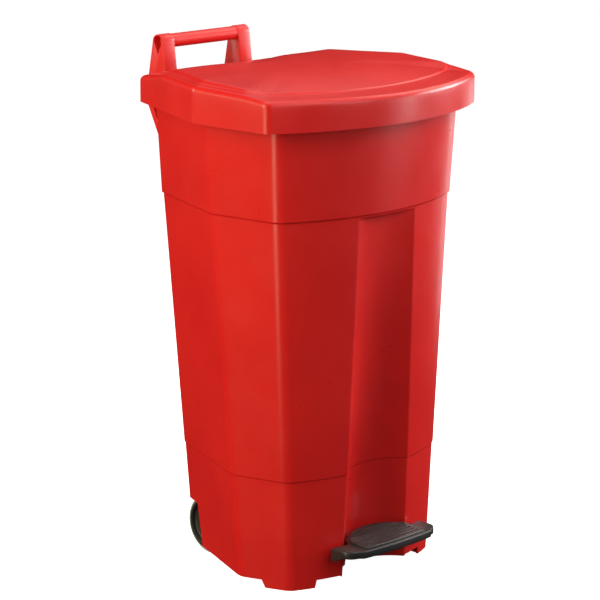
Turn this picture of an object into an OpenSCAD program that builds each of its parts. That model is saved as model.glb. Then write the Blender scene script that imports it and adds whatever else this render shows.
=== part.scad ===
// Pedal bin on two wheels: tub, hinged lid, rear handle, and a pedal that lifts the lid by a rod.
// +Y points to the back, where the handle, wheels and hinge are. The pedal is at the front.

/* [Heights] */
// Height of the handle's top above the floor
total_h = 845; // [835:1:900]
// Bottom edge of the lid's skirt
skirt_z = 745; // [740:1:748]
// Top of the tub's rim
rim_z = 752; // [750:1:753]
// Shallow step round the tub, near the top
upper_step_z = 600; // [560:1:620]
// Shallow step round the tub, near the bottom
lower_step_z = 181; // [150:1:220]
// Underside of the tub's floor
floor_z = 107; // [105:1:112]
// Bottom edge of the tub's walls, between the feet
hem_z = 13; // [10:1:16]

/* [Tub] */
// Thickness of the tub's walls
wall = 3.5; // [3:0.5:4]
// Half width of the recess at its top
recess_top = 63; // [58:1:66]
// Half width of the recess at the floor
recess_low = 72; // [68:1:76]
// Depth of the recess at its top
recess_depth_top = 9; // [7:1:12]
// Depth of the recess at the floor
recess_depth_low = 42; // [38:1:45]

/* [Lid] */
// Thickness of the lid
lid_wall = 3; // [2.5:0.5:3]
// Flat top of the lid's rim
lid_rim_z = 790; // [789:1:791]
// Rise of the dome above its base
dome_rise = 24; // [22:1:28]

/* [Handle] */
// Inner face of each handle bracket, from the middle
bracket_in = 72; // [68:1:78]
// Width of each handle bracket
bracket_w = 26; // [24:1:28]
// Outer radius of the grip tube
grip_r = 11.3; // [10:0.1:11.5]

/* [Pedal] */
// Half width of the pedal
pedal_half = 103; // [98:1:106]
// Front edge of the pedal, ahead of the middle of the tub
pedal_front = 230; // [224:1:231]
// Top of the pedal's wings
pedal_z = 67; // [66:1:69]
// Grooves across the tread
tread_grooves = 7; // [5:1:8]

/* [Wheels] */
// Radius of a wheel
wheel_r = 50; // [48:1:50]
// Width of a wheel
wheel_w = 26; // [22:1:26]
// Inner face of a wheel, from the middle
wheel_in = 99; // [98:1:99]
// Radius of the steel axle
axle_r = 5; // [4:0.5:6]

/* [Hidden] */

$fn = 48;
run = 0.05;              // radial clearance of a running fit
gap = 0.4;               // space between faces that slide past each other
front_limit = -260;      // in front of everything
eps = 1;                 // overshoot of a cutting solid
red = "#cf2620";
charcoal = "#2e2b2b";
steel = "#b9bcc0";
grey = "#9b9ea1";

// Plan of the tub: [half width, y] of the rear corner, the side edge and the front edge,
// then the y of the middle of the front. The plan tapers from the rim to the floor.
plan_rim = [157, 172, 222, -14, 204, -151, -205];
plan_step = [150, 167, 216, -22, 195, -147, -198];
plan_floor = [117, 136, 194, -62, 162, -143, -179];
plan_lid = [161, 209, 248, -15, 236, -163, -231];
upper_swell = 2;         // the zone above the upper step stands this far out
lower_inset = 1;         // the zone below the lower step stands this far in
corner_r = [14, 26, 16]; // rounding of rear, side and front edges
arc_steps = 6;           // points along each rounded edge
front_steps = 14;        // points along the bowed front

// Half of how much further the handle reaches back than the lid reaches forward
handle_back = 262;
centre_y = (handle_back + plan_lid[6]) / 2;

// Hinge of the lid, pivot of the pedal, line of the lift rod, wheel axle
hinge_y = 198;
hinge_z = 776;
pivot_y = 44;
pivot_z = 70;
rod_y = 181.5;
wheel_y = 86;
rod_r = 4;
pin_r = 3;
pivot_r = 4;
knuckle_r = 7;
hinge_x = 121;           // middle of each hinge
roller_y = hinge_y - 15;
roller_z = hinge_z - 14;
roller_r = 5;

// Handle
cap_r = 12.5;
grip_y = 233;
grip_z = total_h - cap_r;
socket_l = 8;
bracket_screw_x = 88;
bracket_screw_z = [655, 710];
screw_r = 2.5;

// Steps, lip, hinge ears and cut-outs of the tub
step_h = 1.5;            // height over which a step is made
lip_w = 3;
ear_w = 6;
knuckle_w = 20;
foot_back = -98;         // back end of each front foot
foot_in = 121;           // inner end of each front foot
wheel_cut_y = 96;        // the walls stop here below wheel_cut_z
wheel_cut_z = 85;
rib_w = 7;
rib_wheel_x = 92;
rib_pivot_x = 30;
recess_bevel = 8;        // bevel in the back corners of the recess, along Y and at the floor
foot_l = 80;
foot_w = 78;
sill_z = 11;             // the lining of the recess stops here
lever_way_y = [-175, -85];
lever_way_z = 60;        // top of the opening for the pedal lever

// Dome and rim of the lid
dome_y = 20;
dome_a = 320;
dome_b = 198;
lid_round = 9;
roller_ear_x = 11;
roller_ear_w = 4;

// Lift rod, its two guides as [z, y of the rear wall], and the pedal's lever
rod_low = pivot_z + 4.6;
rod_top = roller_z - roller_r - 1.2;
guides = [[640, 171], [260, 150.2]];
guide_screw_x = 20;
small_screw_r = 2;
lever_w = 36;
lever_way_half = lever_w / 2 + 8;    // half of the slot, with room beside the lever
lever_t = 6;
pedal_screw_y = [-200, -166];
pedal_back = -176;       // back edge of the pedal's wings, clear of the bowed wall when it is down
tyre_t = 5;

function mix(a, b, t) = [for (i = [0:len(a) - 1]) a[i] + (b[i] - a[i]) * t];
function swell(p, d) = [p[0] + d, p[1] + d, p[2] + d, p[3], p[4] + d, p[5] - d, p[6] - d];
function unit(v) = v / norm(v);

// Points that round the corner b between a and c with radius r
function rounded(a, b, c, r) =
    let (u = unit(a - b), v = unit(c - b), half = acos(u * v) / 2,
         m = b + unit(u + v) * r / sin(half), run_out = r / tan(half),
         p = b + u * run_out - m, q = b + v * run_out - m,
         a0 = atan2(p[1], p[0]), a1 = atan2(q[1], q[0]),
         turn = a1 - a0 > 180 ? a1 - a0 - 360 : a1 - a0 < -180 ? a1 - a0 + 360 : a1 - a0)
    [for (i = [0:arc_steps]) m + r * [cos(a0 + turn * i / arc_steps), sin(a0 + turn * i / arc_steps)]];

// A point of the bowed front, at a fraction f of the half width
function bow(p, f) =
    let (sag = p[5] - p[6], r = (p[4] * p[4] + sag * sag) / (2 * sag), x = p[4] * f)
    [x, p[6] + r - sqrt(r * r - x * x)];

function half_plan(p) =
    let (rear = [p[0], p[1]], side = [p[2], p[3]], front = [p[4], p[5]])
    concat(
        [for (i = [1:front_steps / 2]) bow(p, 0.85 * i / (front_steps / 2))],
        rounded(bow(p, 0.86), front, side, corner_r[2]),
        rounded(front, side, rear, corner_r[1]),
        rounded(side, rear, [0, p[1]], corner_r[0]));

// Whole plan, anticlockwise from the middle of the front
function plan(p) =
    let (right = half_plan(p), n = len(right))
    concat([bow(p, 0)], right, [for (i = [n - 1:-1:0]) [-right[i][0], right[i][1]]]);

// Puts the origin under the middle of the whole box
module place() {
    translate([0, -centre_y, 0])
        children();
}

// Solid through a list of [plan, z] levels
module loft(levels) {
    n = len(plan(levels[0][0]));
    last = (len(levels) - 1) * n;
    points = [for (l = levels) for (q = plan(l[0])) [q[0], q[1], l[1]]];
    sides = [for (k = [0:len(levels) - 2]) for (i = [0:n - 1])
        [k * n + i, (k + 1) * n + i, (k + 1) * n + (i + 1) % n, k * n + (i + 1) % n]];
    bottom = [for (i = [0:n - 1]) i];
    top = [for (i = [n - 1:-1:0]) last + i];
    polyhedron(points, concat(sides, [bottom, top]), convexity = 6);
}

// Plan of the tub below and above the upper step
function low_plan(z) = mix(plan_floor, plan_step, z / upper_step_z);
function high_plan(z) = mix(plan_step, plan_rim, (z - upper_step_z) / (rim_z - upper_step_z));

// Outside of the tub, taken in by d all round, from z0 to z1
module tub_solid(d, z0, z1) {
    loft([
        [swell(low_plan(z0), -d - lower_inset), z0],
        [swell(low_plan(lower_step_z), -d - lower_inset), lower_step_z],
        [swell(low_plan(lower_step_z), -d), lower_step_z + step_h],
        [swell(low_plan(upper_step_z), -d), upper_step_z],
        [swell(high_plan(upper_step_z), upper_swell - d), upper_step_z + step_h],
        [swell(high_plan(z1), upper_swell - d), z1]
    ]);
}

// Lip outside the rim, on the front and the sides
module rim_lip() {
    lip = swell(high_plan(rim_z), upper_swell);
    wide = [lip[0] + lip_w, lip[1], lip[2] + lip_w, lip[3], lip[4] + lip_w, lip[5] - lip_w, lip[6] - lip_w];
    loft([[lip, rim_z - 3 * lip_w], [wide, rim_z - 2 * lip_w], [wide, rim_z]]);
}

// Section of the recess wedge: half width at the front, y of its back, bevel in its back corners
function recess_section(half, back, bevel) =
    [[-half, front_limit], [half, front_limit], [half, back - recess_bevel], [half - bevel, back],
        [-half + bevel, back], [-half, back - recess_bevel]];

// Wedge of the front recess, grown by d on its sides, back and top
module recess_wedge(d) {
    slab = 0.1;
    hull() {
        translate([0, 0, upper_step_z - 3 + d - slab])
            linear_extrude(slab)
                polygon(recess_section(recess_top + d, plan_step[6] + recess_depth_top + d, recess_bevel - 3));
        translate([0, 0, -eps - d])
            linear_extrude(slab)
                polygon(recess_section(recess_low + d, plan_floor[6] + recess_depth_low + d, recess_bevel));
    }
}

// A plate in the YZ plane, from x to x + w
module plate(x, w) {
    translate([x, 0, 0])
        rotate([90, 0, 90])
            linear_extrude(w)
                children();
}

// A round bar along X
module bar(x0, x1, y, z, r) {
    translate([x0, y, z])
        rotate([0, 90, 0])
            cylinder(h = x1 - x0, r = r);
}

// Screw along -Z with its head's seat at the origin
module screw(length, r) {
    head_h = 1.2 * r;
    translate([0, 0, -length])
        cylinder(h = length, r = r);
    difference() {
        cylinder(h = head_h, r1 = 2.1 * r, r2 = 1.6 * r);
        translate([0, 0, head_h / 2])
            cylinder(h = head_h, r = 0.8 * r, $fn = 6);
    }
}

// Puts a screw's +Z along +Y
module facing_back() {
    rotate([-90, 0, 0])
        children();
}

// One ear of a lid hinge, rising from the rear rim
module hinge_ear(x) {
    plate(x, ear_w) {
        translate([hinge_y, hinge_z])
            circle(r = knuckle_r);
        polygon([[170, 690], [hinge_y, 738], [hinge_y + knuckle_r, hinge_z],
            [hinge_y - 4, hinge_z + 5], [172, rim_z]]);
    }
}

// Ribs under the floor that carry the two axles
module underfloor_ribs() {
    for (side = [-1, 1]) {
        plate(side * rib_wheel_x - rib_w / 2, rib_w)
            polygon([[wheel_y - 11, wheel_r - 11], [wheel_y + 11, wheel_r - 11],
                [wheel_y + 24, floor_z + eps], [wheel_y - 40, floor_z + eps]]);
        plate(side * rib_pivot_x - rib_w / 2, rib_w)
            polygon([[pivot_y - 10, pivot_z - 9], [pivot_y + 10, pivot_z - 9],
                [pivot_y + 24, floor_z + eps], [pivot_y - 24, floor_z + eps]]);
    }
}

// Flat soles of the two front feet
module soles() {
    intersection() {
        tub_solid(0, 0, rim_z);
        for (side = [-1, 1])
            translate([side * (foot_in + foot_w / 2) - foot_w / 2, foot_back - foot_l, 0])
                cube([foot_w, foot_l, wall]);
    }
}

// Everything that is cut off below the hem
module hem_cuts() {
    wide = 600;
    lining = recess_low + recess_bevel;
    // behind the front feet
    translate([-wide / 2, foot_back, -eps])
        cube([wide, wide, hem_z + eps]);
    // between the feet, outside and inside the recess
    for (side = [-1, 1])
        translate([side * (foot_in + lining) / 2 - (foot_in - lining) / 2, front_limit, -eps])
            cube([foot_in - lining, 200, hem_z + eps]);
    translate([-foot_in, front_limit, -eps])
        cube([2 * foot_in, 200, sill_z + eps]);
    // wheel corners and rear wall
    translate([-wide / 2, wheel_cut_y, -eps])
        cube([wide, wide, wheel_cut_z + eps]);
    // way for the pedal lever, front and back
    translate([-lever_way_half, lever_way_y[0], -eps])
        cube([2 * lever_way_half, lever_way_y[1] - lever_way_y[0], lever_way_z + eps]);
    translate([-24, 100, wheel_cut_z - eps])
        cube([48, 60, floor_z - 0.5 - wheel_cut_z + eps]);
}

module tub() {
    color(red)
        difference() {
            union() {
                difference() {
                    union() {
                        tub_solid(0, 0, rim_z);
                        rim_lip();
                    }
                    tub_solid(wall, floor_z + wall, rim_z + eps);
                    loft([
                        [swell(low_plan(-eps), -wall - lower_inset), -eps],
                        [swell(low_plan(floor_z), -wall - lower_inset), floor_z]
                    ]);
                }
                intersection() {
                    tub_solid(0, 0, rim_z);
                    recess_wedge(wall);
                }
                soles();
                underfloor_ribs();
                for (side = [-1, 1], edge = [-1, 1])
                    hinge_ear(side * hinge_x + edge * (knuckle_w + ear_w) / 2 - ear_w / 2);
            }
            recess_wedge(0);
            hem_cuts();
            bar(-rib_wheel_x - rib_w, rib_wheel_x + rib_w, wheel_y, wheel_r, axle_r + run);
            bar(-rib_pivot_x - rib_w, rib_pivot_x + rib_w, pivot_y, pivot_z, pivot_r + run);
            for (side = [-1, 1]) {
                bar(side * hinge_x - 20, side * hinge_x + 20, hinge_y, hinge_z, pin_r + run);
                bar(side * (wheel_in + wheel_w / 2) - wheel_w / 2 - 1.5,
                    side * (wheel_in + wheel_w / 2) + wheel_w / 2 + 1.5, wheel_y, wheel_r, wheel_r + 2);
                for (z = bracket_screw_z)
                    translate([side * bracket_screw_x, 160, z])
                        facing_back()
                            cylinder(h = 30, r = screw_r + run);
                for (g = guides)
                    translate([side * guide_screw_x, g[1] - 12, g[0]])
                        facing_back()
                            cylinder(h = 20, r = small_screw_r + run);
            }
        }
}

// Lid solid, taken in by d and lowered by d
module lid_solid(d) {
    top = lid_rim_z - d;
    loft(concat(
        [[swell(plan_lid, -d), skirt_z - d / 2]],
        [for (a = [0:22.5:90])
            [swell(plan_lid, -d - lid_round * (1 - cos(a))), top - lid_round * (1 - sin(a))]]));
    intersection() {
        loft([[swell(plan_lid, -d - lid_round), top - lid_round],
            [swell(plan_lid, -d - lid_round - 2), top + dome_rise]]);
        translate([0, dome_y, top - 2])
            scale([dome_a / dome_b, 1, 1])
                rotate_extrude($fn = 72)
                    polygon(concat([[0, -3], [dome_b, -3]],
                        [for (i = [0:10]) [dome_b * cos(9 * i), dome_rise * pow(sin(9 * i), 2)]]));
    }
}

// Notches in the rear skirt for the hinge ears and the lift rod
module rear_notches() {
    for (side = [-1, 1])
        translate([side * hinge_x - 25, hinge_y - 20, skirt_z - eps])
            cube([50, 40, hinge_z + knuckle_r + 2 - skirt_z + eps]);
    translate([-22, hinge_y - 8, skirt_z - eps])
        cube([44, 28, hinge_z + 4 - skirt_z + eps]);
}

module lid() {
    color(red)
        difference() {
            union() {
                difference() {
                    lid_solid(0);
                    lid_solid(lid_wall);
                    rear_notches();
                }
                for (side = [-1, 1])
                    plate(side * hinge_x - knuckle_w / 2 + gap, knuckle_w - 2 * gap) {
                        translate([hinge_y, hinge_z])
                            circle(r = knuckle_r);
                        polygon([[hinge_y - 7, hinge_z], [hinge_y + 7, hinge_z],
                            [hinge_y + 6, lid_rim_z - 1], [hinge_y - 7, lid_rim_z - 1]]);
                    }
                intersection() {
                    lid_solid(lid_wall / 3);
                    for (side = [-1, 1])
                        plate(side * roller_ear_x - roller_ear_w / 2, roller_ear_w)
                            polygon([[roller_y - 6, roller_z - 4], [roller_y + 6, roller_z - 4],
                                [roller_y + 9, total_h], [roller_y - 14, total_h]]);
                }
            }
            for (side = [-1, 1])
                bar(side * hinge_x - 20, side * hinge_x + 20, hinge_y, hinge_z, pin_r + run);
            bar(-roller_ear_x - roller_ear_w, roller_ear_x + roller_ear_w, roller_y, roller_z, 2 + run);
        }
}

module lid_roller() {
    color(grey)
        difference() {
            bar(gap - roller_ear_x + roller_ear_w / 2, roller_ear_x - roller_ear_w / 2 - gap,
                roller_y, roller_z, roller_r);
            bar(-roller_ear_x, roller_ear_x, roller_y, roller_z, 2 + run);
        }
}

module lid_roller_pin() {
    color(steel)
        bar(-roller_ear_x - 3, roller_ear_x + 3, roller_y, roller_z, 2);
}

module hinge_pin(side) {
    half = knuckle_w / 2 + ear_w + 1;
    color(steel) {
        bar(side * hinge_x - half, side * hinge_x + half, hinge_y, hinge_z, pin_r);
        bar(side * (hinge_x - half) - 1, side * (hinge_x - half) + 1, hinge_y, hinge_z, pin_r + 1.5);
    }
}

// Handle bracket: a moulded post behind the lid, screwed to the rear wall
module bracket(side) {
    outer = bracket_in + bracket_w;
    x0 = side > 0 ? bracket_in : -outer;
    color(red)
        difference() {
            plate(x0, bracket_w) {
                translate([grip_y, grip_z])
                    circle(r = cap_r);
                polygon([[170.4, 612], [200, 612], [handle_back, 735], [handle_back - 6, hinge_z],
                    [grip_y + cap_r, grip_z], [grip_y - cap_r, grip_z],
                    [214.5, 787], [213, 742], [174.3, 737]]);
            }
            // hollow at the top, open to the outside
            plate(side > 0 ? outer - 14 : -outer - eps, 14 + eps) {
                translate([grip_y, grip_z])
                    circle(r = cap_r - 3);
                polygon([[grip_y - cap_r + 3, grip_z], [grip_y, grip_z - 21],
                    [grip_y + cap_r - 3, grip_z]]);
            }
            // hollow lower down, round the screws
            plate(side > 0 ? outer - 21 : -outer - eps, 21 + eps)
                polygon([[177.5, 626], [198, 626], [250, 732], [206, 732], [180, 729]]);
            // socket of the grip tube
            bar(side > 0 ? bracket_in - eps : -bracket_in - socket_l,
                side > 0 ? bracket_in + socket_l : -bracket_in + eps, grip_y, grip_z, grip_r + run);
            for (z = bracket_screw_z)
                translate([side * bracket_screw_x, 160, z])
                    facing_back()
                        cylinder(h = 30, r = screw_r + run);
        }
}

module grip_tube() {
    half = bracket_in + socket_l - gap;
    color(red)
        difference() {
            bar(-half, half, grip_y, grip_z, grip_r);
            bar(-half - eps, half + eps, grip_y, grip_z, grip_r - 2.8);
        }
}

module bracket_screws() {
    color(steel)
        for (side = [-1, 1], z = bracket_screw_z)
            translate([side * bracket_screw_x, 178.6 + (z - bracket_screw_z[0]) / 40, z])
                facing_back()
                    screw(11, screw_r);
}

// Outline of the pedal: bowed front, rounded corners, narrower where it enters the recess
function pedal_outline() =
    let (half = pedal_half, side_back = [half, pedal_back], corner = [half, -217], nose = [0, -pedal_front],
        right = concat([for (i = [1:5]) [half * 0.15 * i, -pedal_front + 7 * pow(0.15 * i, 2)]],
            rounded(nose, corner, side_back, 20),
            [side_back, [67, -182], [60, -165], [40, -152]]),
        n = len(right))
    concat([nose], right, [for (i = [n - 1:-1:0]) [-right[i][0], right[i][1]]]);

module pedal() {
    flange = 3;
    color(charcoal)
        difference() {
            union() {
                translate([0, 0, pedal_z - 12])
                    linear_extrude(12)
                        polygon(pedal_outline());
                for (side = [-1, 1])
                    plate(side > 0 ? pedal_half - flange : -pedal_half, flange)
                        polygon([[-203, pedal_z - 11], [-193, 50], [pedal_back, 44], [pedal_back, pedal_z - 11]]);
            }
            for (y = pedal_screw_y)
                translate([0, y, pedal_z - 12 - eps])
                    cylinder(h = 8, r = screw_r + run);
        }
}

// Raised tread with an arched back and grooves across it
module pedal_tread() {
    half = 66;
    back = 150;
    r = (half * half + 32 * 32) / (2 * 32);
    color(charcoal)
        difference() {
            translate([0, 0, pedal_z])
                linear_extrude(9)
                    polygon(concat(
                        [for (i = [-6:6]) [half * i / 6, -back - r + sqrt(r * r - pow(half * i / 6, 2))]],
                        [for (i = [3:-1:-3]) [half * i / 3, 6 - pedal_front + 3 * pow(i / 3, 2)]]));
            // the top falls away to the front
            translate([-100, -pedal_front, pedal_z + 2.5])
                rotate([4.5, 0, 0])
                    cube([200, 120, 30]);
            for (i = [1:tread_grooves])
                translate([-half + 7, -pedal_front + 8 + i * 60 / tread_grooves, pedal_z + 3])
                    rotate([4.5, 0, 0])
                        cube([2 * half - 14, 3, 12]);
        }
}

module pedal_screws() {
    color(steel)
        for (y = pedal_screw_y)
            translate([0, y, pedal_z - 12 - gap / 2 - lever_t])
                rotate([180, 0, 0])
                    screw(12, screw_r);
}

// Steel bar from the pedal, under the floor, to the foot of the lift rod
module pedal_lever() {
    low = pedal_z - 12 - gap / 2;
    half = lever_w / 2;
    color(steel)
        difference() {
            union() {
                plate(-half, lever_w)
                    polygon([[-214, low - lever_t], [-128, low - lever_t],
                        [pivot_y - 24, pivot_z - lever_t / 2], [192, pivot_z - lever_t / 2],
                        [192, pivot_z + lever_t / 2], [pivot_y - 26, pivot_z + lever_t / 2],
                        [-130, low], [-214, low]]);
                bar(gap - rib_pivot_x + rib_w / 2, rib_pivot_x - rib_w / 2 - gap,
                    pivot_y, pivot_z, pivot_r + 4);
            }
            bar(-rib_pivot_x, rib_pivot_x, pivot_y, pivot_z, pivot_r + run);
            for (y = pedal_screw_y)
                translate([0, y, low - lever_t - eps])
                    cylinder(h = lever_t + 2 * eps, r = screw_r + run);
        }
}

module pedal_axle() {
    half = rib_pivot_x + rib_w / 2 + 4;
    color(steel)
        bar(-half, half, pivot_y, pivot_z, pivot_r);
}

// Push-on clip on an axle: a thin ring from x, w wide
module clip(x, w, y, z, r_in, r_out) {
    difference() {
        bar(x, x + w, y, z, r_out);
        bar(x - eps, x + w + eps, y, z, r_in);
    }
}

module pedal_axle_clips() {
    color(steel)
        for (side = [-1, 1])
            clip(side * (rib_pivot_x + rib_w / 2 + 1.5) - 1, 2, pivot_y, pivot_z, pivot_r + run, pivot_r + 4);
}

module lift_rod() {
    color(steel)
        translate([0, rod_y, rod_low + 3])
            cylinder(h = rod_top - rod_low - 6, r = rod_r);
}

// Cap that pushes the lid's roller
module rod_cap() {
    color(charcoal)
        translate([0, rod_y, rod_top - 14])
            difference() {
                union() {
                    cylinder(h = 12, r = 6);
                    translate([0, 0, 12])
                        cylinder(h = 2, r1 = 6, r2 = 5);
                }
                translate([0, 0, -eps])
                    cylinder(h = 11 + eps, r = rod_r + run);
            }
}

// Shoe that stands on the lever
module rod_shoe() {
    color(charcoal)
        translate([0, rod_y, rod_low])
            difference() {
                union() {
                    cylinder(h = 2, r1 = 7, r2 = 8);
                    translate([0, 0, 2])
                        cylinder(h = 12, r = 8);
                }
                translate([0, 0, 3])
                    cylinder(h = 12, r = rod_r + run);
            }
}

// Guide of the lift rod, at [z, y of the rear wall]
module rod_guide(g) {
    base = 4;
    color(charcoal)
        difference() {
            union() {
                translate([-28, g[1], g[0] - 8])
                    cube([56, base, 16]);
                translate([-9, g[1], g[0] - 8])
                    cube([18, rod_y - g[1], 16]);
                translate([0, rod_y, g[0] - 8])
                    cylinder(h = 16, r = 9);
            }
            translate([0, rod_y, g[0] - 9])
                cylinder(h = 18, r = rod_r + run);
            for (side = [-1, 1])
                translate([side * guide_screw_x, g[1] - eps, g[0]])
                    facing_back()
                        cylinder(h = base + 2 * eps, r = small_screw_r + run);
        }
}

module guide_screws() {
    color(steel)
        for (side = [-1, 1], g = guides)
            translate([side * guide_screw_x, g[1] + 4, g[0]])
                facing_back()
                    screw(9, small_screw_r);
}

module wheel_axle() {
    half = wheel_in + wheel_w + 2.5;
    color(steel)
        bar(-half, half, wheel_y, wheel_r, axle_r);
}

// Dished wheel body
module wheel(side) {
    x0 = side > 0 ? wheel_in : -wheel_in - wheel_w;
    dish = 7;
    rim = wheel_r - tyre_t - run;
    color(charcoal)
        difference() {
            bar(x0, x0 + wheel_w, wheel_y, wheel_r, rim);
            for (face = [x0 - eps, x0 + wheel_w - dish])
                difference() {
                    bar(face, face + dish + eps, wheel_y, wheel_r, rim - 5);
                    bar(face - eps, face + dish + 2 * eps, wheel_y, wheel_r, axle_r + 6);
                }
            bar(x0 - eps, x0 + wheel_w + eps, wheel_y, wheel_r, axle_r + run);
        }
}

module tyre(side) {
    x0 = side > 0 ? wheel_in : -wheel_in - wheel_w;
    color(grey)
        translate([x0 + wheel_w / 2, wheel_y, wheel_r])
            rotate([0, 90, 0])
                rotate_extrude($fn = 72)
                    polygon([[wheel_r - tyre_t, -wheel_w / 2 + 1], [wheel_r - 2, -wheel_w / 2 + 1],
                        [wheel_r, -wheel_w / 2 + 4], [wheel_r, wheel_w / 2 - 4],
                        [wheel_r - 2, wheel_w / 2 - 1], [wheel_r - tyre_t, wheel_w / 2 - 1]]);
}

module washer(side) {
    inner = rib_wheel_x + rib_w / 2 + 0.2;
    w = wheel_in - gap - inner;
    color(steel)
        clip(side > 0 ? inner : -inner - w, w, wheel_y, wheel_r, axle_r + run, axle_r + 5);
}

module wheel_clips() {
    w = 1.5;
    inner = wheel_in + wheel_w + gap;
    color(steel)
        for (side = [-1, 1])
            clip(side > 0 ? inner : -inner - w, w, wheel_y, wheel_r, axle_r + run, axle_r + 4);
}

place() tub();
place() lid();
place() lid_roller();
place() lid_roller_pin();
place() hinge_pin(-1);  // hinge_pin_left
place() hinge_pin(1);  // hinge_pin_right
place() bracket(-1);  // bracket_left
place() bracket(1);  // bracket_right
place() grip_tube();
place() bracket_screws();
place() pedal();
place() pedal_tread();
place() pedal_screws();
place() pedal_lever();
place() pedal_axle();
place() pedal_axle_clips();
place() lift_rod();
place() rod_cap();
place() rod_shoe();
place() rod_guide(guides[0]);  // guide_upper
place() rod_guide(guides[1]);  // guide_lower
place() guide_screws();
place() wheel_axle();
place() wheel(-1);  // wheel_left
place() wheel(1);  // wheel_right
place() tyre(-1);  // tyre_left
place() tyre(1);  // tyre_right
place() washer(-1);  // washer_left
place() washer(1);  // washer_right
place() wheel_clips();
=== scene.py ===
import math

import bmesh
import bpy
import numpy as np
from mathutils import Matrix, Vector


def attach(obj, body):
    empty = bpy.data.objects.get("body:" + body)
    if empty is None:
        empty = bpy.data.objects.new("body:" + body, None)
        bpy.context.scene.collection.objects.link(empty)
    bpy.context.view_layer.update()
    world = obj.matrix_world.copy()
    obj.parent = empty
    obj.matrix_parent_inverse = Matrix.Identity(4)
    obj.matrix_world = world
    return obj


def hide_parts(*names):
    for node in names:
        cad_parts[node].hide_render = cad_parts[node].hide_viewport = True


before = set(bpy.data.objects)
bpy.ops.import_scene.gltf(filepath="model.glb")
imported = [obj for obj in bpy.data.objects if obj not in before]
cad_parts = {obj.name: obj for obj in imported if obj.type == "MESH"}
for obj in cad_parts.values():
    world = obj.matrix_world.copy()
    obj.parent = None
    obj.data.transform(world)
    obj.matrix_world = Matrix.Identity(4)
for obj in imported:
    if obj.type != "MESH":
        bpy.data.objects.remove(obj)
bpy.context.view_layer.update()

# The design is drawn in millimetres, with Y measured from the middle of the tub.
# The part's frame has its origin under the middle of the whole box.
MM = 0.001
CENTRE_Y = 15.5

# Plans: half width and y of the rear, side and front corners, then y of the middle of the front
PLAN_RIM = (157, 172, 222, -14, 204, -151, -205)
PLAN_STEP = (150, 167, 216, -22, 195, -147, -198)
PLAN_FLOOR = (117, 136, 194, -62, 162, -143, -179)
PLAN_LID = (161, 209, 248, -15, 236, -163, -231)
TUB_ROUND = (14, 28, 26)
LID_ROUND = (14, 22, 18)

RIM_Z, UPPER_STEP, LOWER_STEP, FLOOR_Z, HEM_Z = 752, 600, 181, 107, 13
WALL = 3.5
UPPER_SWELL, LOWER_INSET = 2.0, 1.0
RECESS_TOP = 597
RECESS_HALF = (63, 72)
RECESS_DEPTH = (8.5, 42)

HINGE_Y, HINGE_Z, HINGE_X = 198, 776, 121
PIVOT_Y, PIVOT_Z = 44, 70
WHEEL_Y, WHEEL_Z, WHEEL_R, WHEEL_IN, WHEEL_W = 86, 50, 50, 99, 26
ROLLER_Y, ROLLER_Z = 183, 762
GRIP_Y, GRIP_Z, GRIP_R, CAP_R = 233, 832.5, 11.3, 12.5
BRACKET_IN, BRACKET_W = 72, 26
PEDAL_HALF, PEDAL_FRONT, PEDAL_BACK = 103, -230, -176
LEVER_WAY_Z, LEVER_WAY_HALF, SILL_Z = 60, 26, 11
REAR_WAY_HALF, REAR_WAY_TOP = 24, 106.5
WHEEL_CUT_Y, WHEEL_CUT_Z = 96, 85
FOOT_BACK, FOOT_IN, FRONT_BACK, LINING_HALF = -98, 121, -100, 74
SOLE_IN, SOLE_BACK, SOLE_H = 122.5, -99.5, 3.5
RIB_X, AXLE_RIB_X, RIB_HALF = 92, 30, 3.5
EAR_HALF, EAR_EDGE = 3, 13
BOX_ROOM = 0.1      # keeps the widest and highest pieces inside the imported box
INSIDE_LEVELS = (740, 700, 640, 606, 602, 600, 598, 590, 560, 500,
                 440, 380, 320, 260, 200, 184, 181, 178, 150, 122)
LOOPS = {}
FLOOR_CENTRE = np.array([0.0, -20.0, 0.0])
FLOOR_RINGS = (0.94, 0.8, 0.55, 0.25)


# ---------------------------------------------------------------- helpers

def placed(points):
    """Design points in millimetres, as metres in the part's frame."""
    p = np.array(points, dtype=float).reshape(-1, 3)
    p[:, 1] -= CENTRE_Y
    return p * MM


def mesh_object(name, points, faces, sharp=38):
    """A smooth-shaded mesh object whose edges above an angle stay sharp."""
    mesh = bpy.data.meshes.new(name)
    mesh.from_pydata([tuple(p) for p in placed(points)], [], faces)
    bm = bmesh.new()
    bm.from_mesh(mesh)
    bmesh.ops.remove_doubles(bm, verts=bm.verts, dist=1e-6)
    bmesh.ops.dissolve_degenerate(bm, edges=bm.edges, dist=1e-7)
    bmesh.ops.recalc_face_normals(bm, faces=bm.faces)
    bm.to_mesh(mesh)
    bm.free()
    for poly in mesh.polygons:
        poly.use_smooth = True
    mesh.set_sharp_from_angle(angle=math.radians(sharp))
    obj = bpy.data.objects.new(name, mesh)
    bpy.context.scene.collection.objects.link(obj)
    return obj


def finish_piece(obj, body, material, nodes=()):
    """Material, body and CAD nodes of a finished piece."""
    obj.data.materials.clear()
    obj.data.materials.append(material)
    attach(obj, body)
    if nodes:
        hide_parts(*nodes)
    return obj


def apply_modifiers(obj, sharp=38):
    """Replaces an object's mesh by its evaluated one."""
    graph = bpy.context.evaluated_depsgraph_get()
    graph.update()
    mesh = bpy.data.meshes.new_from_object(obj.evaluated_get(graph))
    obj.modifiers.clear()
    obj.data = mesh
    for poly in mesh.polygons:
        poly.use_smooth = True
    mesh.set_sharp_from_angle(angle=math.radians(sharp))
    return obj


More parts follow.
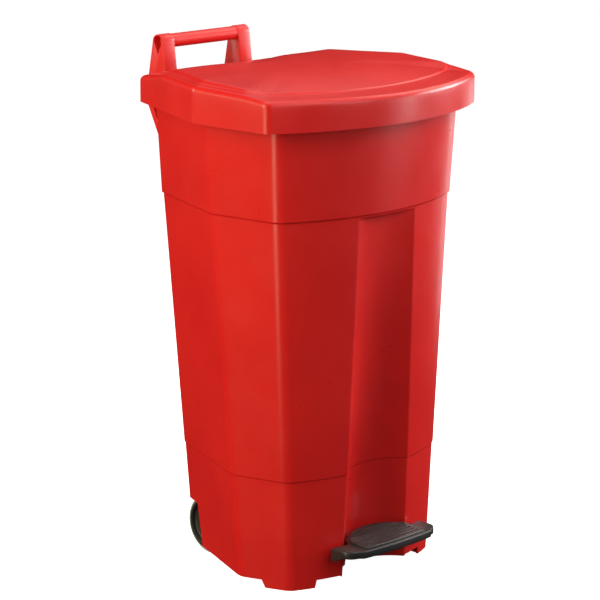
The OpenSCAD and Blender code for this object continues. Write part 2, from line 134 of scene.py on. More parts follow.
def bevelled(obj, width, segments=2, angle=30):
    """Rounds an object's edges by width, in millimetres."""
    bev = obj.modifiers.new("round", "BEVEL")
    bev.width = width * MM
    bev.segments = segments
    bev.limit_method = "ANGLE"
    bev.angle_limit = math.radians(angle)
    bev.use_clamp_overlap = True
    return apply_modifiers(obj)


def cut(obj, cutters):
    """Takes each cutter out of an object and removes the cutters."""
    for c in cutters:
        mod = obj.modifiers.new("cut", "BOOLEAN")
        mod.operation = "DIFFERENCE"
        mod.solver = "EXACT"
        mod.object = c
    apply_modifiers(obj)
    for c in cutters:
        bpy.data.objects.remove(c, do_unlink=True)
    return obj


def joined(name, objects):
    """One object from several."""
    bm = bmesh.new()
    for o in objects:
        bm.from_mesh(o.data)
    mesh = bpy.data.meshes.new(name)
    bm.to_mesh(mesh)
    bm.free()
    for o in objects:
        bpy.data.objects.remove(o, do_unlink=True)
    for poly in mesh.polygons:
        poly.use_smooth = True
    mesh.set_sharp_from_angle(angle=math.radians(38))
    obj = bpy.data.objects.new(name, mesh)
    bpy.context.scene.collection.objects.link(obj)
    return obj


def arc(cx, cy, r, a0, a1, n):
    """Points on an arc, angles in degrees."""
    return [(cx + r * math.cos(math.radians(a0 + (a1 - a0) * i / n)),
             cy + r * math.sin(math.radians(a0 + (a1 - a0) * i / n))) for i in range(n + 1)]


def prism(name, outline, low, high, axis="x", bevel=0.0, segments=2):
    """An outline extruded along an axis. For x the outline is (y, z); for z it is (x, y)."""
    n = len(outline)
    if axis == "x":
        pts = [(low, a, b) for a, b in outline] + [(high, a, b) for a, b in outline]
    else:
        pts = [(a, b, low) for a, b in outline] + [(a, b, high) for a, b in outline]
    faces = [tuple(range(n))[::-1], tuple(range(n, 2 * n))]
    faces += [(i, (i + 1) % n, n + (i + 1) % n, n + i) for i in range(n)]
    obj = mesh_object(name, pts, faces)
    return bevelled(obj, bevel, segments) if bevel else obj


def lathe(name, profile, centre, steps=96, closed=True):
    """A profile of (radius, x) turned about an axis along X through centre (x, y, z)."""
    n = len(profile)
    pts, faces = [], []
    for k in range(steps):
        a = 2 * math.pi * k / steps
        pts += [(centre[0] + x, centre[1] + r * math.cos(a), centre[2] + r * math.sin(a)) for r, x in profile]
    for k in range(steps):
        m = (k + 1) % steps
        for i in range(n if closed else n - 1):
            j = (i + 1) % n
            faces.append((k * n + i, k * n + j, m * n + j, m * n + i))
    return mesh_object(name, pts, faces)


def grid_faces(rows, cols, start=0, wrap=True):
    """Quads between rows of points that run round a closed loop."""
    out = []
    for r in range(rows - 1):
        for c in range(cols if wrap else cols - 1):
            d = (c + 1) % cols
            out.append((start + r * cols + c, start + r * cols + d,
                        start + (r + 1) * cols + d, start + (r + 1) * cols + c))
    return out


# ---------------------------------------------------------------- plans

def mix(a, b, t):
    return tuple(p + (q - p) * t for p, q in zip(a, b))


def swell(p, d):
    return (p[0] + d, p[1] + d, p[2] + d, p[3], p[4] + d, p[5] - d, p[6] - d)


def smooth(a, b, x):
    t = min(1.0, max(0.0, (x - a) / (b - a)))
    return t * t * (3 - 2 * t)


def tub_plan(z):
    """Plan of the tub's outside at a height, with its two shallow steps."""
    if z < UPPER_STEP:
        p = mix(PLAN_FLOOR, PLAN_STEP, z / UPPER_STEP)
    else:
        p = mix(PLAN_STEP, PLAN_RIM, (z - UPPER_STEP) / (RIM_Z - UPPER_STEP))
    out = UPPER_SWELL * smooth(UPPER_STEP - 0.4, UPPER_STEP + 1.8, z)
    out -= LOWER_INSET * (1 - smooth(LOWER_STEP - 0.4, LOWER_STEP + 1.6, z))
    return swell(p, out)


def rounded(a, b, c, r, n):
    """Points that round corner b between a and c."""
    a, b, c = np.array(a, float), np.array(b, float), np.array(c, float)
    u, v = (a - b) / np.linalg.norm(a - b), (c - b) / np.linalg.norm(c - b)
    half = math.acos(float(np.clip(u @ v, -1, 1))) / 2
    m = b + (u + v) / np.linalg.norm(u + v) * r / math.sin(half)
    run = r / math.tan(half)
    p, q = b + u * run - m, b + v * run - m
    a0, a1 = math.atan2(p[1], p[0]), math.atan2(q[1], q[0])
    turn = (a1 - a0 + math.pi) % (2 * math.pi) - math.pi
    angles = [a0 + turn * i / n for i in range(n + 1)]
    return [m + r * np.array([math.cos(a), math.sin(a)]) for a in angles]


def between(a, b, n):
    a, b = np.array(a, float), np.array(b, float)
    return [a + (b - a) * i / n for i in range(1, n)]


def bow_y(p, x):
    """Y of the bowed front at x."""
    sag = p[5] - p[6]
    r = (p[4] ** 2 + sag ** 2) / (2 * sag)
    return p[6] + r - math.sqrt(r * r - x * x)


def side_half(p, rounding, count=10):
    """Right half of a plan from the end of the bow to the middle of the rear."""
    rear, side, front = np.array(p[0:2], float), np.array(p[2:4], float), np.array(p[4:6], float)
    start = np.array([p[4] * 0.86, bow_y(p, p[4] * 0.86)])
    c1 = rounded(start, front, side, rounding[2], count)
    c2 = rounded(front, side, rear, rounding[1], count)
    c3 = rounded(side, rear, (0, p[1]), rounding[0], count)
    back = np.array([0.0, p[1]])
    return (c1 + between(c1[-1], c2[0], 12) + c2 + between(c2[-1], c3[0], 24) + c3
            + between(c3[-1], back, 24) + [back])


def mirrored(right):
    """Whole loop from a right half that starts and ends at x = 0."""
    right = [np.array(q, float) for q in right]
    return np.array(right + [np.array([-q[0], q[1]]) for q in right[-2:0:-1]])


# ---------------------------------------------------------------- tub

def recess_profile(p, z, count=22):
    """Right half of the front at a height: the scooped recess, its rounded edge, then the bow."""
    t = min(1.0, max(0.0, (RECESS_TOP - z) / RECESS_TOP))
    half = RECESS_HALF[0] + (RECESS_HALF[1] - RECESS_HALF[0]) * t
    depth = RECESS_DEPTH[0] + (RECESS_DEPTH[1] - RECESS_DEPTH[0]) * t
    depth *= 1 - smooth(RECESS_TOP - 2.2, RECESS_TOP + 0.6, z)
    edge_y = bow_y(p, half)
    pts = []
    if depth > 0.05:
        r = (half * half + depth * depth) / (2 * depth)
        scoop = lambda x: edge_y + math.sqrt(max(0.0, r * r - x * x)) - (r - depth)
    else:
        scoop = lambda x: edge_y
    flat = smooth(0.0, 3.0, depth)
    for i in range(count + 1):
        x = (half - 1.6) * math.sin(math.pi / 2 * i / count)
        pts.append((x, scoop(x) * flat + bow_y(p, x) * (1 - flat)))
    # rounded edge between the scoop and the bow
    a = np.array(pts[-1])
    b = np.array([half, edge_y])
    c = np.array([half + 1.8, bow_y(p, half + 1.8)])
    for i in range(1, 5):
        s = i / 5
        pts.append(tuple(a * (1 - s) ** 2 + b * 2 * s * (1 - s) + c * s * s))
    pts.append(tuple(c))
    end = p[4] * 0.86
    for i in range(1, 22):
        x = c[0] + (end - c[0]) * i / 22
        pts.append((x, bow_y(p, x)))
    return pts


def tub_loop(z, inward=0.0):
    """Closed loop of the tub at a height, taken in by a distance."""
    p = tub_plan(z)
    loop = mirrored(recess_profile(p, z) + side_half(p, TUB_ROUND))
    if inward:
        nxt, prv = np.roll(loop, -1, 0), np.roll(loop, 1, 0)
        t = nxt - prv
        t /= np.linalg.norm(t, axis=1)[:, None]
        loop = loop + np.stack([-t[:, 1], t[:, 0]], 1) * inward
    return loop


def foot_height(x, y):
    """Bottom edge of the wall at a point of the plan."""
    if y > WHEEL_CUT_Y:
        return float(WHEEL_CUT_Z)
    if y < FOOT_BACK and abs(x) > FOOT_IN:
        return 0.0
    if y < FRONT_BACK and abs(x) < LEVER_WAY_HALF:
        return float(LEVER_WAY_Z)
    if y < FRONT_BACK and abs(x) < LINING_HALF:
        return float(SILL_Z)
    return float(HEM_Z)


def outer_levels():
    """Heights of the rings up the outside, close together at the steps and at the top of the recess."""
    near = lambda z: [z - 3, z - 1.2, z - 0.4, z, z + 0.4, z + 0.8, z + 1.2, z + 1.6, z + 2.0, z + 4]
    zs = list(np.linspace(92, 170, 7)) + near(LOWER_STEP) + list(np.linspace(192, 588, 26))
    zs += [592, 594.2, 594.8, 595.4, 596, 596.6, 597.2, 597.8, 598.6, 599.6]
    zs += [600, 600.4, 600.8, 601.2, 601.8, 603]
    return zs + list(np.linspace(612, 740, 9)) + [743, 746, 748.5]


def tub_wall():
    """Outside, rim, inside and floor of the tub, as one closed shell."""
    rings, zs = [], outer_levels()
    n = len(tub_loop(300))
    base = tub_loop(60.0)
    foot = np.array([foot_height(x, y) for x, y in base])
    # lower wall: every column runs down to its own bottom edge
    low_rows = []
    for s in (0.0, 0.012, 0.05, 0.2, 0.4, 0.6, 0.8):
        z = foot + (zs[0] - foot) * s
        row = np.array([tub_loop_at(c, zz) for c, zz in zip(range(n), z)])
        low_rows.append(np.column_stack([row, z]))
    rings = low_rows + [np.column_stack([tub_loop(z), np.full(n, z)]) for z in zs]
    # rolled rim with an outward lip on the front and sides
    top = tub_loop(RIM_Z)
    out = outward(top)
    lip = np.array([3.0 if y < 165 else 0.0 for _, y in top])[:, None]
    for d, z in ((0.3, 743.6), (0.85, 744.6), (1.0, 746), (1.0, 750.5), (0.85, 751.5), (0.5, 752)):
        rings.append(np.column_stack([top + out * lip * d, np.full(n, float(z))]))
    for d, z in ((-0.6, 752), (-2.9, 752), (-3.4, 751.4), (-3.5, 750.4)):
        rings.append(np.column_stack([top + out * d, np.full(n, float(z))]))
    # inside, down to the floor, with a rounded bottom corner
    for z in INSIDE_LEVELS:
        rings.append(np.column_stack([tub_loop(z, WALL), np.full(n, float(z))]))
    for a in (20, 45, 70, 90):
        d = 6 * (1 - math.cos(math.radians(a)))
        z = FLOOR_Z + WALL + 6 * (1 - math.sin(math.radians(a)))
        rings.append(np.column_stack([tub_loop(z, WALL + d), np.full(n, z)]))
    # underside: from the floor's underside out and down to the bottom edge
    under = [np.column_stack([tub_loop(FLOOR_Z, WALL + 3), np.full(n, float(FLOOR_Z))]),
             np.column_stack([tub_loop(FLOOR_Z - 3, WALL), np.full(n, FLOOR_Z - 3.0)])]
    for s in (0.7, 0.35, 0.0):
        z = foot + (88 - foot) * s
        row = np.array([tub_loop_at(c, zz, WALL) for c, zz in zip(range(n), z)])
        under.append(np.column_stack([row, z]))
    shrink = lambda ring, k: FLOOR_CENTRE + (ring - FLOOR_CENTRE) * np.array([k, k, 1.0])
    below = [shrink(under[0], k) for k in FLOOR_RINGS[::-1]]
    above = [shrink(rings[-1], k) for k in FLOOR_RINGS]
    top_z = rings[-1][0][2]
    rings = below + under + rings + above
    pts = [r for ring in rings for r in ring]
    rows = len(rings)
    faces = grid_faces(rows, n)
    for first, tip_z, end in ((0, under[0][0][2], len(pts)), ((rows - 1) * n, top_z, len(pts) + 1)):
        pts.append(np.array([FLOOR_CENTRE[0], FLOOR_CENTRE[1], tip_z]))
        faces += [(first + c, first + (c + 1) % n, end) for c in range(n)]
    return mesh_object("tub_wall", pts, faces, 50)


def tub_loop_at(column, z, inward=0.0):
    """One point of a loop; loops are kept by height."""
    key = (round(float(z), 2), inward)
    if key not in LOOPS:
        LOOPS[key] = tub_loop(key[0], inward)
    return LOOPS[key][column]


def outward(loop):
    """Unit normals of a loop in plan, pointing out."""
    t = np.roll(loop, -1, 0) - np.roll(loop, 1, 0)
    t /= np.linalg.norm(t, axis=1)[:, None]
    return np.stack([t[:, 1], -t[:, 0]], 1)


def tub_ribs():
    """Ribs below the floor that carry the wheel axle and the pedal axle."""
    out = []
    for side in (-1, 1):
        x = side * RIB_X
        boss = arc(WHEEL_Y, WHEEL_Z, 12, 180, 360, 16)
        outline = [(46, FLOOR_Z + 1), (58, 80)] + boss + [(110, FLOOR_Z + 1)]
        out.append(prism("rib", outline, x - RIB_HALF, x + RIB_HALF, bevel=0.8))
        x = side * AXLE_RIB_X
        boss = arc(PIVOT_Y, PIVOT_Z, 10, 180, 360, 14)
        outline = [(20, FLOOR_Z + 1)] + boss + [(68, FLOOR_Z + 1)]
        out.append(prism("rib", outline, x - RIB_HALF, x + RIB_HALF, bevel=0.8))
    return out


def tub_ears():
    """Ears of the lid's hinges on the rear rim."""
    round_top = arc(HINGE_Y, HINGE_Z, 7, -20, 150, 14)
    outline = [(171, 690), (196, 736), (205, 772)] + round_top + [(174, 752), (171, 748)]
    out = []
    for side in (-1, 1):
        for edge in (-EAR_EDGE, EAR_EDGE):
            x = side * HINGE_X + edge
            out.append(prism("ear", outline, x - EAR_HALF, x + EAR_HALF, bevel=0.7))
    return out


def tub_feet():
    """Soles of the two front feet."""
    loop = tub_loop(2.0, 2.0)
    out = []
    for side in (-1, 1):
        keep = [q for q in loop if side * q[0] > SOLE_IN and q[1] < SOLE_BACK]
        keep.sort(key=lambda q: math.atan2(q[1] - SOLE_BACK, side * (q[0] - side * SOLE_IN)))
        pts = [(side * SOLE_IN, SOLE_BACK)] + [tuple(q) for q in keep]
        out.append(prism("sole", pts, 0.0, SOLE_H, axis="z"))
    return out


def make_tub(material):
    wall = cut(tub_wall(), [box_cutter((-REAR_WAY_HALF, 100, 80), (REAR_WAY_HALF, 165, REAR_WAY_TOP))])
    parts = [wall] + tub_ribs() + tub_ears() + tub_feet()
    tub = joined("tub_shell", parts)
    return finish_piece(tub, "tub_body", material, ("tub",))


# ---------------------------------------------------------------- lid

# Stations round the lid: front middle, front corner, end of the front crease, side corner,
# two along the rear side, rear corner, beside the hinge, rear middle
STATION = (0, 1, 1.32, 2, 2.6, 2.85, 3, 3.2, 4)
EDGE_Z = (792, 794, 799, 803.2, 802, 792, 787.5, 788, 789)
FOOT_Z = (795.5, 796.8, 802, 805, 804, 794, 788.5, 789.5, 790.5)
STEP_H = (1.6, 2.4, 3, 5, 5, 5, 5, 4, 2)
STEP_W = (3.0, 3.0, 8, 14, 14, 10, 8, 8, 5)
PANEL_IN = (47, 48, 18, 20, 22, 26, 36, 40, 70)
LID_EDGE_R = 9.0
LID_CROWN = 813.0
LID_CENTRE = (0.0, 10.0)
SKIRT_Z = 745.0
LID_WALL = 3.0


def station(x, y):
    """Where a point of the lid's edge lies among the stations."""
    ax = abs(x)
    if y < PLAN_LID[5] + 8 and ax < 232:
        return min(1.0, ax / 228)
    if y < PLAN_LID[3]:
        return 1 + max(0.0, (y - PLAN_LID[5]) / 148)
    if y < PLAN_LID[1] - 9:
        return 2 + (y - PLAN_LID[3]) / 224
    return 3 + (161 - min(161, ax)) / 161


def lid_loop():
    p = swell(PLAN_LID, -BOX_ROOM)
    end = p[4] * 0.86
    front = [(end * i / 44, bow_y(p, end * i / 44)) for i in range(44)]
    return mirrored(front + side_half(p, LID_ROUND))


def lid_column(edge, offset):
    """Points of one column of the lid, from the skirt's foot to the crown, lowered by offset."""
    x, y = edge
    s = station(x, y)
    at = lambda values: float(np.interp(s, STATION, values))
    centre = np.array(LID_CENTRE)
    length = float(np.linalg.norm(centre - edge))
    u = (centre - edge) / length
    edge_z, foot_z, step, width, panel = at(EDGE_Z), at(FOOT_Z), at(STEP_H), at(STEP_W), at(PANEL_IN)
    r = LID_EDGE_R - offset
    pts = []
    for t in (0.0, 0.03, 0.25, 0.5, 0.75):
        z = SKIRT_Z + (edge_z - LID_EDGE_R - SKIRT_Z) * t
        pts.append((offset, z))
    for a in np.linspace(0, math.pi / 2, 9):
        pts.append((offset + r * (1 - math.cos(a)), edge_z - LID_EDGE_R + r * math.sin(a)))
    start = max(panel - width / 2, LID_EDGE_R + 0.6)
    for t in np.linspace(0, 1, 7)[1:]:
        pts.append((LID_EDGE_R + (start - LID_EDGE_R) * t, edge_z + (foot_z - edge_z) * t - offset))
    for t in np.linspace(0, 1, 8)[1:]:
        pts.append((start + width * t, foot_z + step * t * t * (3 - 2 * t) - offset))
    d1, z1 = start + width, foot_z + step
    for t in np.linspace(0, 1, 26)[1:-1]:
        pts.append((d1 + (length - d1) * t, z1 + (LID_CROWN - z1) * (1 - (1 - t) ** 2.4) - offset))
    return [(x + u[0] * d, y + u[1] * d, z) for d, z in pts]


def lid_surface(offset):
    columns = [lid_column(e, offset) for e in lid_loop()]
    rows = len(columns[0])
    pts = [columns[c][r] for r in range(rows) for c in range(len(columns))]
    pts.append((LID_CENTRE[0], LID_CENTRE[1], LID_CROWN - offset))
    return pts, rows, len(columns)


def lid_shell():
    """Outside and inside of the lid, joined round the foot of the skirt."""
    outer, rows, n = lid_surface(0.0)
    inner, _, _ = lid_surface(LID_WALL)
    start = len(outer)
    pts = outer + inner
    faces = grid_faces(rows, n) + grid_faces(rows, n, start)
    for k, tip in ((0, start - 1), (start, len(pts) - 1)):
        last = k + (rows - 1) * n
        faces += [(last + c, last + (c + 1) % n, tip) for c in range(n)]
    faces += [(c, (c + 1) % n, start + (c + 1) % n, start + c) for c in range(n)]
    return mesh_object("lid_shell", pts, faces, 50)


def box_cutter(low, high):
    (x0, y0, z0), (x1, y1, z1) = low, high
    return prism("cutter", [(x0, y0), (x1, y0), (x1, y1), (x0, y1)], z0, z1, axis="z")


def make_lid(material):
    shell = lid_shell()
    cutters = [box_cutter((s * HINGE_X - 25, 183, 740), (s * HINGE_X + 25, 215, 784.5)) for s in (-1, 1)]
    cutters.append(box_cutter((-22, 190, 740), (22, 215, 780)))
    cut(shell, cutters)
    parts = [shell]
    for side in (-1, 1):
        x = side * HINGE_X
        knuckle = arc(HINGE_Y, HINGE_Z, 7, 180, 360, 16) + [(HINGE_Y + 6, 788), (HINGE_Y - 7, 788)]
        parts.append(prism("knuckle", knuckle, x - 9.6, x + 9.6, bevel=0.6))
        x = side * 11
        ear = arc(ROLLER_Y, ROLLER_Z, 6, 180, 360, 12) + [(ROLLER_Y + 9, 789), (ROLLER_Y - 12, 791)]
        parts.append(prism("roller_ear", ear, x - 2, x + 2, bevel=0.4))
    lid = joined("lid_top", parts)
    return finish_piece(lid, "lid_body", material, ("lid",))


# ---------------------------------------------------------------- handle

def bracket_outline():
    cap = arc(GRIP_Y, GRIP_Z, CAP_R - BOX_ROOM, 0, 180, 24)
    return [(170.6, 612), (196, 612), (201, 615), (262, 735), (256, 776)] + cap + [(214.5, 787), (213, 742),
                                                                                 (174.3, 737)]


def make_bracket(side, material):
    inner, outer = BRACKET_IN, BRACKET_IN + BRACKET_W
    lo, hi = (inner, outer) if side > 0 else (-outer, -inner)
    post = prism("bracket", bracket_outline(), lo, hi)
    hollow = arc(GRIP_Y, GRIP_Z, CAP_R - 3, 0, 180, 20) + [(GRIP_Y, GRIP_Z - 21)]
    lower = [(177.5, 626), (198, 626), (250, 732), (206, 732), (180, 729)]
    open_lo, open_hi = (outer - 14, outer + 2) if side > 0 else (-outer - 2, -outer + 14)
    deep_lo, deep_hi = (outer - 21, outer + 2) if side > 0 else (-outer - 2, -outer + 21)
    cut(post, [prism("hollow", hollow, open_lo, open_hi), prism("lower", lower, deep_lo, deep_hi)])
    bevelled(post, 0.9, 3, 32)
    name = "bracket_left" if side < 0 else "bracket_right"
    post.name = "handle_post_left" if side < 0 else "handle_post_right"
    return finish_piece(post, "tub_body", material, (name,))


def make_grip(material):
    half = BRACKET_IN + 7
    profile = [(GRIP_R, -half), (GRIP_R, -half * 0.5), (GRIP_R, 0), (GRIP_R, half * 0.5), (GRIP_R, half),
               (GRIP_R - 2.8, half), (GRIP_R - 2.8, -half)]
    grip = lathe("handle_grip", profile, (0, GRIP_Y, GRIP_Z), 72)
    return finish_piece(grip, "tub_body", material, ("grip_tube",))


# ---------------------------------------------------------------- pedal

def pedal_outline():
    half, front = PEDAL_HALF, PEDAL_FRONT
    pts = [(half * 0.125 * i, front + 7 * (0.125 * i) ** 2) for i in range(0, 7)]
    pts += [tuple(q) for q in rounded((0, front), (half, -217), (half, PEDAL_BACK), 20, 12)]
    pts += [(half, PEDAL_BACK), (67, -182), (60, -165), (40, -152)]
    return [tuple(q) for q in mirrored([(0.0, front)] + pts[1:] + [(0.0, -152)])]


def make_pedal(material):
    plate = prism("pedal_plate", pedal_outline(), 55, 67, axis="z", bevel=1.6, segments=3)
    parts = [plate]
    for side in (-1, 1):
        lo, hi = (100, 103) if side > 0 else (-103, -100)
        outline = [(-203, 57), (-193, 50), (PEDAL_BACK, 44), (PEDAL_BACK, 57)]
        parts.append(prism("flange", outline, lo, hi, bevel=0.6))
    pedal = joined("pedal_plate", parts)
    return finish_piece(pedal, "pedal_body", material, ("pedal",))


def make_tread(material):
    half, back = 66, -150
    r = (half * half + 32 * 32) / (2 * 32)
    top = [(half * i / 14, back - r + math.sqrt(r * r - (half * i / 14) ** 2)) for i in range(14, -15, -1)]
    front = [(half * i / 6, -224 + 3 * (i / 6) ** 2) for i in range(-6, 7)]
    tread = prism("pedal_tread", top + front, 66, 77, axis="z")
    slope = prism("slope", [(-232, 69.3), (-140, 76.2), (-140, 90), (-232, 90)], -90, 90)
    cut(tread, [slope])
    bevelled(tread, 1.2, 3, 25)
    grooves = []
    for i in range(7):
        y = -216 + i * 8.2
        z = 69.3 + (y + 232) * 6.9 / 92
        grooves.append(prism("groove", [(y, z - 1.6), (y + 3, z - 1.4), (y + 3, z + 5), (y, z + 5)], -58, 58))
    cut(tread, grooves)
    bevelled(tread, 0.35, 2, 40)
    return finish_piece(tread, "pedal_body", material, ("pedal_tread",))


# ---------------------------------------------------------------- wheels

def both_faces(face, width):
    """A profile of (radius, x) with the mirror image of its face at the other side of the width."""
    return face + [(r, width - x) for r, x in face[::-1]]


def make_wheel(side, plastic, rubber):
    x0 = WHEEL_IN if side > 0 else -WHEEL_IN - WHEEL_W
    c = (x0, WHEEL_Y, WHEEL_Z)
    w = WHEEL_W
    rim, hub = WHEEL_R - 5.05, 11
    face = [(rim, 0.6), (rim - 0.6, 0), (rim - 4.4, 0), (rim - 5, 0.6), (rim - 6, 6), (rim - 8, 7)]
    face += [(hub + 3, 7), (hub + 1, 6), (hub, 1), (hub - 0.6, 0), (6.4, 0), (5.3, 0.6)]
    dish = both_faces(face, w)
    wheel = lathe("wheel_disc", dish, c)
    name = "left" if side < 0 else "right"
    wheel.name = "wheel_disc_" + name
    finish_piece(wheel, "wheel_" + name + "_body", plastic, ("wheel_" + name,))
    edge = [(WHEEL_R - 5, 1.2), (WHEEL_R - 2.6, 1.0), (WHEEL_R - 1.4, 1.6), (WHEEL_R - 0.4, 3), (WHEEL_R, 5)]
    tread = both_faces(edge, w)
    tyre = lathe("tyre", tread, c)
    tyre.name = "tyre_ring_" + name
    finish_piece(tyre, "wheel_" + name + "_body", rubber, ("tyre_" + name,))


# ---------------------------------------------------------------- materials

def new_material(name):
    mat = bpy.data.materials.new(name)
    mat.use_nodes = True
    tree = mat.node_tree
    return mat, tree, tree.nodes["Principled BSDF"]


def noise(tree, scale, detail=3.0, rough=0.5, vector=None):
    tex = tree.nodes.new("ShaderNodeTexNoise")
    tex.inputs["Scale"].default_value = scale
    tex.inputs["Detail"].default_value = detail
    tex.inputs["Roughness"].default_value = rough
    if vector:
        tree.links.new(vector, tex.inputs["Vector"])
    return tex.outputs["Fac"]


def ramp(tree, source, low, high, start=0.35, end=0.65):
    node = tree.nodes.new("ShaderNodeValToRGB")
    node.color_ramp.elements[0].position, node.color_ramp.elements[0].color = start, (*low, 1)
    node.color_ramp.elements[1].position, node.color_ramp.elements[1].color = end, (*high, 1)
    tree.links.new(source, node.inputs["Fac"])
    return node.outputs["Color"]


def spread(tree, source, low, high):
    node = tree.nodes.new("ShaderNodeMapRange")
    node.inputs["To Min"].default_value, node.inputs["To Max"].default_value = low, high
    node.inputs["From Min"].default_value, node.inputs["From Max"].default_value = 0.3, 0.7
    tree.links.new(source, node.inputs["Value"])
    return node.outputs["Result"]


def add_bump(tree, shader, source, strength, distance):
    node = tree.nodes.new("ShaderNodeBump")
    node.inputs["Strength"].default_value = strength
    node.inputs["Distance"].default_value = distance
    tree.links.new(source, node.inputs["Height"])
    tree.links.new(node.outputs["Normal"], shader.inputs["Normal"])


def object_coords(tree):
    return tree.nodes.new("ShaderNodeTexCoord").outputs["Object"]


def plastic(name, low, high, rough_low, rough_high, grain=900.0, strength=0.12, specular=0.5):
    """Moulded plastic: faint colour drift, satin patches, fine spark-eroded grain."""
    mat, tree, shader = new_material(name)
    where = object_coords(tree)
    tree.links.new(ramp(tree, noise(tree, 6.0, 4.0, 0.55, where), low, high), shader.inputs["Base Color"])
    patches = spread(tree, noise(tree, 14.0, 6.0, 0.6, where), rough_low, rough_high)
    tree.links.new(patches, shader.inputs["Roughness"])
    add_bump(tree, shader, noise(tree, grain, 2.0, 0.5, where), strength, 0.0002)
    shader.inputs["Specular IOR Level"].default_value = specular
    return mat


def steel(name):
    """Zinc-plated steel, lightly brushed."""
    mat, tree, shader = new_material(name)
    where = object_coords(tree)
    tree.links.new(ramp(tree, noise(tree, 60.0, 4.0, 0.6, where), (0.45, 0.46, 0.47), (0.62, 0.63, 0.65)),
                   shader.inputs["Base Color"])
    tree.links.new(spread(tree, noise(tree, 220.0, 4.0, 0.6, where), 0.28, 0.42), shader.inputs["Roughness"])
    add_bump(tree, shader, noise(tree, 1400.0, 2.0, 0.5, where), 0.15, 0.0001)
    shader.inputs["Metallic"].default_value = 1.0
    return mat


def floor_material():
    mat, tree, shader = new_material("studio_floor")
    where = object_coords(tree)
    tree.links.new(ramp(tree, noise(tree, 2.0, 2.0, 0.5, where), (0.90, 0.90, 0.90), (0.92, 0.92, 0.92)),
                   shader.inputs["Base Color"])
    shader.inputs["Roughness"].default_value = 0.9
    shader.inputs["Specular IOR Level"].default_value = 0.0
    shader.inputs["Emission Color"].default_value = (1, 1, 1, 1)
    shader.inputs["Emission Strength"].default_value = 0.97
    return mat


# ---------------------------------------------------------------- stage, lights, camera

def make_floor(material):
    """Plain white floor. It gives no shadow and no reflection."""
    size, z = 30000, -0.2
    corners = [(-size, -size, z), (size, -size, z), (size, size, z), (-size, size, z)]
    floor = mesh_object("floor", corners, [(0, 1, 2, 3)])
    floor.data.materials.append(material)
    floor.visible_glossy = False
    floor.visible_diffuse = False
    floor.visible_shadow = False


def area_light(name, place, target, width, height, power, colour=(1, 1, 1)):
    data = bpy.data.lights.new(name, "AREA")
    data.shape = "RECTANGLE"
    data.size, data.size_y = width, height
    data.energy = power
    data.color = colour
    obj = bpy.data.objects.new(name, data)
    obj.location = place
    obj.rotation_euler = (Vector(target) - Vector(place)).to_track_quat("-Z", "Y").to_euler()
    bpy.context.scene.collection.objects.link(obj)
    return obj


WARM, PALE, WHITE = (1.0, 0.90, 0.62), (1.0, 0.95, 0.86), (1.0, 1.0, 1.0)
# Each soft light: azimuth from the front toward the right and elevation, in degrees,
# then width, height, power and colour
LIGHTS = {
    "top_soft": (0, 89.9, 1.8, 1.8, 28, PALE),
    "left_soft": (-95, 16, 0.8, 1.0, 35, WARM),
    "left_low": (-82, -7, 0.7, 0.7, 14, WARM),
    "left_high": (-90, 45, 1.3, 1.3, 13, WARM),
    "left_rear": (-120, 16, 0.8, 1.0, 8, WARM),
    "left_back": (-150, 16, 0.8, 1.0, 14, PALE),
    "front_left": (-20, 16, 0.8, 1.0, 5, WHITE),
    "front_high": (0, 45, 1.3, 1.3, 16, WHITE),
    "front_right": (15, 16, 0.8, 1.0, 9, WHITE),
    "right_soft": (68, 16, 0.8, 1.0, 44, WHITE),
    "right_side": (80, 16, 0.8, 1.0, 10, WHITE),
    "right_low": (100, -7, 0.7, 0.7, 3, WHITE),
    "right_high": (90, 45, 1.3, 1.3, 18, PALE),
    "right_front_high": (45, 45, 1.3, 1.3, 7, WHITE),
    "back_high": (135, 45, 1.3, 1.3, 3, WHITE),
    "handle_strip": (43.5, 4, 0.5, 0.7, 7, WHITE),
}
LIGHT_DISTANCE = 2.6
LIGHT_AIM = (0, 0, 0.45)
WORLD_FILL = 0.02


def soft_light(name, azimuth, elevation, width, height, power, colour):
    """A softbox on a sphere around the object, turned toward its middle."""
    a, e = math.radians(azimuth), math.radians(elevation)
    place = (LIGHT_DISTANCE * math.cos(e) * math.sin(a), -LIGHT_DISTANCE * math.cos(e) * math.cos(a),
             LIGHT_AIM[2] + LIGHT_DISTANCE * math.sin(e))
    return area_light(name, place, LIGHT_AIM, width, height, power, colour)


def make_lights():
    for name, numbers in LIGHTS.items():
        soft_light(name, *numbers)


def make_world():
    """White to the camera, soft grey to everything else."""
    world = bpy.data.worlds.new("studio")
    bpy.context.scene.world = world
    world.use_nodes = True
    tree = world.node_tree
    back = tree.nodes["Background"]
    back.inputs["Color"].default_value = (1, 1, 1, 1)
    back.inputs["Strength"].default_value = WORLD_FILL
    white = tree.nodes.new("ShaderNodeBackground")
    white.inputs["Strength"].default_value = 1.0
    path = tree.nodes.new("ShaderNodeLightPath")
    both = tree.nodes.new("ShaderNodeMixShader")
    tree.links.new(path.outputs["Is Camera Ray"], both.inputs["Fac"])
    tree.links.new(back.outputs["Background"], both.inputs[1])
    tree.links.new(white.outputs["Background"], both.inputs[2])
    tree.links.new(both.outputs["Shader"], tree.nodes["World Output"].inputs["Surface"])


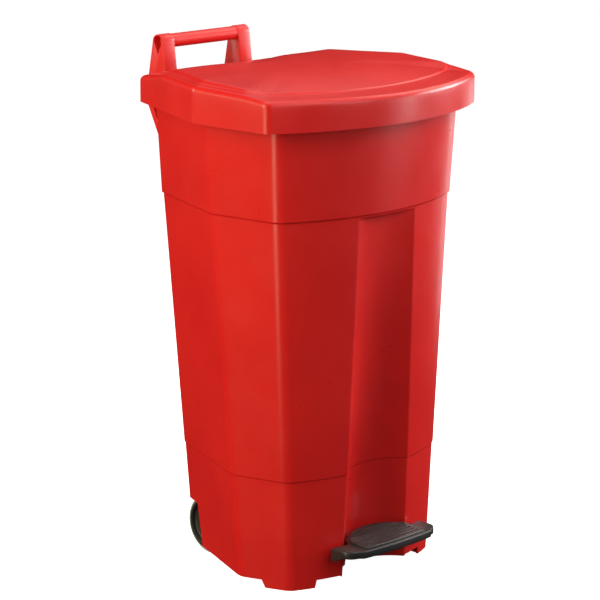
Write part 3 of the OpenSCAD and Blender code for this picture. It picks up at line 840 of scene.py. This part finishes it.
def make_camera():
    """Camera to the front left, slightly above the lid, as in the photograph."""
    data = bpy.data.cameras.new("camera")
    data.sensor_width = 36
    data.lens = 155.66
    data.clip_end = 100
    obj = bpy.data.objects.new("camera", data)
    place = Vector((-2.90537, -2.90877 - CENTRE_Y * MM, 1.39965))
    back = Vector((-0.68762, -0.68842, 0.230767)).normalized()
    right = Vector((0, 0, 1)).cross(back).normalized()
    up = back.cross(right)
    roll = math.radians(0.29)
    r2 = right * math.cos(roll) + up * math.sin(roll)
    u2 = up * math.cos(roll) - right * math.sin(roll)
    obj.matrix_world = Matrix(((r2.x, u2.x, back.x, place.x), (r2.y, u2.y, back.y, place.y),
                               (r2.z, u2.z, back.z, place.z), (0, 0, 0, 1)))
    bpy.context.scene.collection.objects.link(obj)
    bpy.context.scene.camera = obj


# ---------------------------------------------------------------- build

def repaint(names, material):
    """Gives CAD nodes that stay in view their material."""
    for name in names:
        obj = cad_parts[name]
        obj.data.materials.clear()
        obj.data.materials.append(material)


STEEL_NODES = ("lid_roller_pin", "hinge_pin_left", "hinge_pin_right", "bracket_screws", "pedal_screws",
               "pedal_lever", "pedal_axle", "pedal_axle_clips", "lift_rod", "guide_screws", "wheel_axle",
               "washer_left", "washer_right", "wheel_clips")


def main():
    make_camera()
    make_world()
    make_lights()
    make_floor(floor_material())
    red = plastic("red_plastic", (0.61, 0.013, 0.012), (0.67, 0.017, 0.014), 0.27, 0.36, specular=0.4)
    charcoal = plastic("charcoal_plastic", (0.020, 0.019, 0.019), (0.030, 0.028, 0.028),
                       0.34, 0.48, 700.0, 0.2)
    rubber = plastic("grey_tyre", (0.30, 0.31, 0.32), (0.36, 0.37, 0.38), 0.60, 0.75, 500.0, 0.25, 0.35)
    grey = plastic("grey_plastic", (0.36, 0.37, 0.38), (0.42, 0.43, 0.44), 0.35, 0.45)
    metal = steel("steel")
    make_tub(red)
    make_lid(red)
    make_bracket(-1, red)
    make_bracket(1, red)
    make_grip(red)
    make_pedal(charcoal)
    make_tread(charcoal)
    make_wheel(-1, charcoal, rubber)
    make_wheel(1, charcoal, rubber)
    repaint(("lid_roller",), grey)
    repaint(("rod_cap", "rod_shoe", "guide_upper", "guide_lower"), charcoal)
    repaint(STEEL_NODES, metal)
    bpy.context.scene.view_settings.view_transform = "Standard"


main()
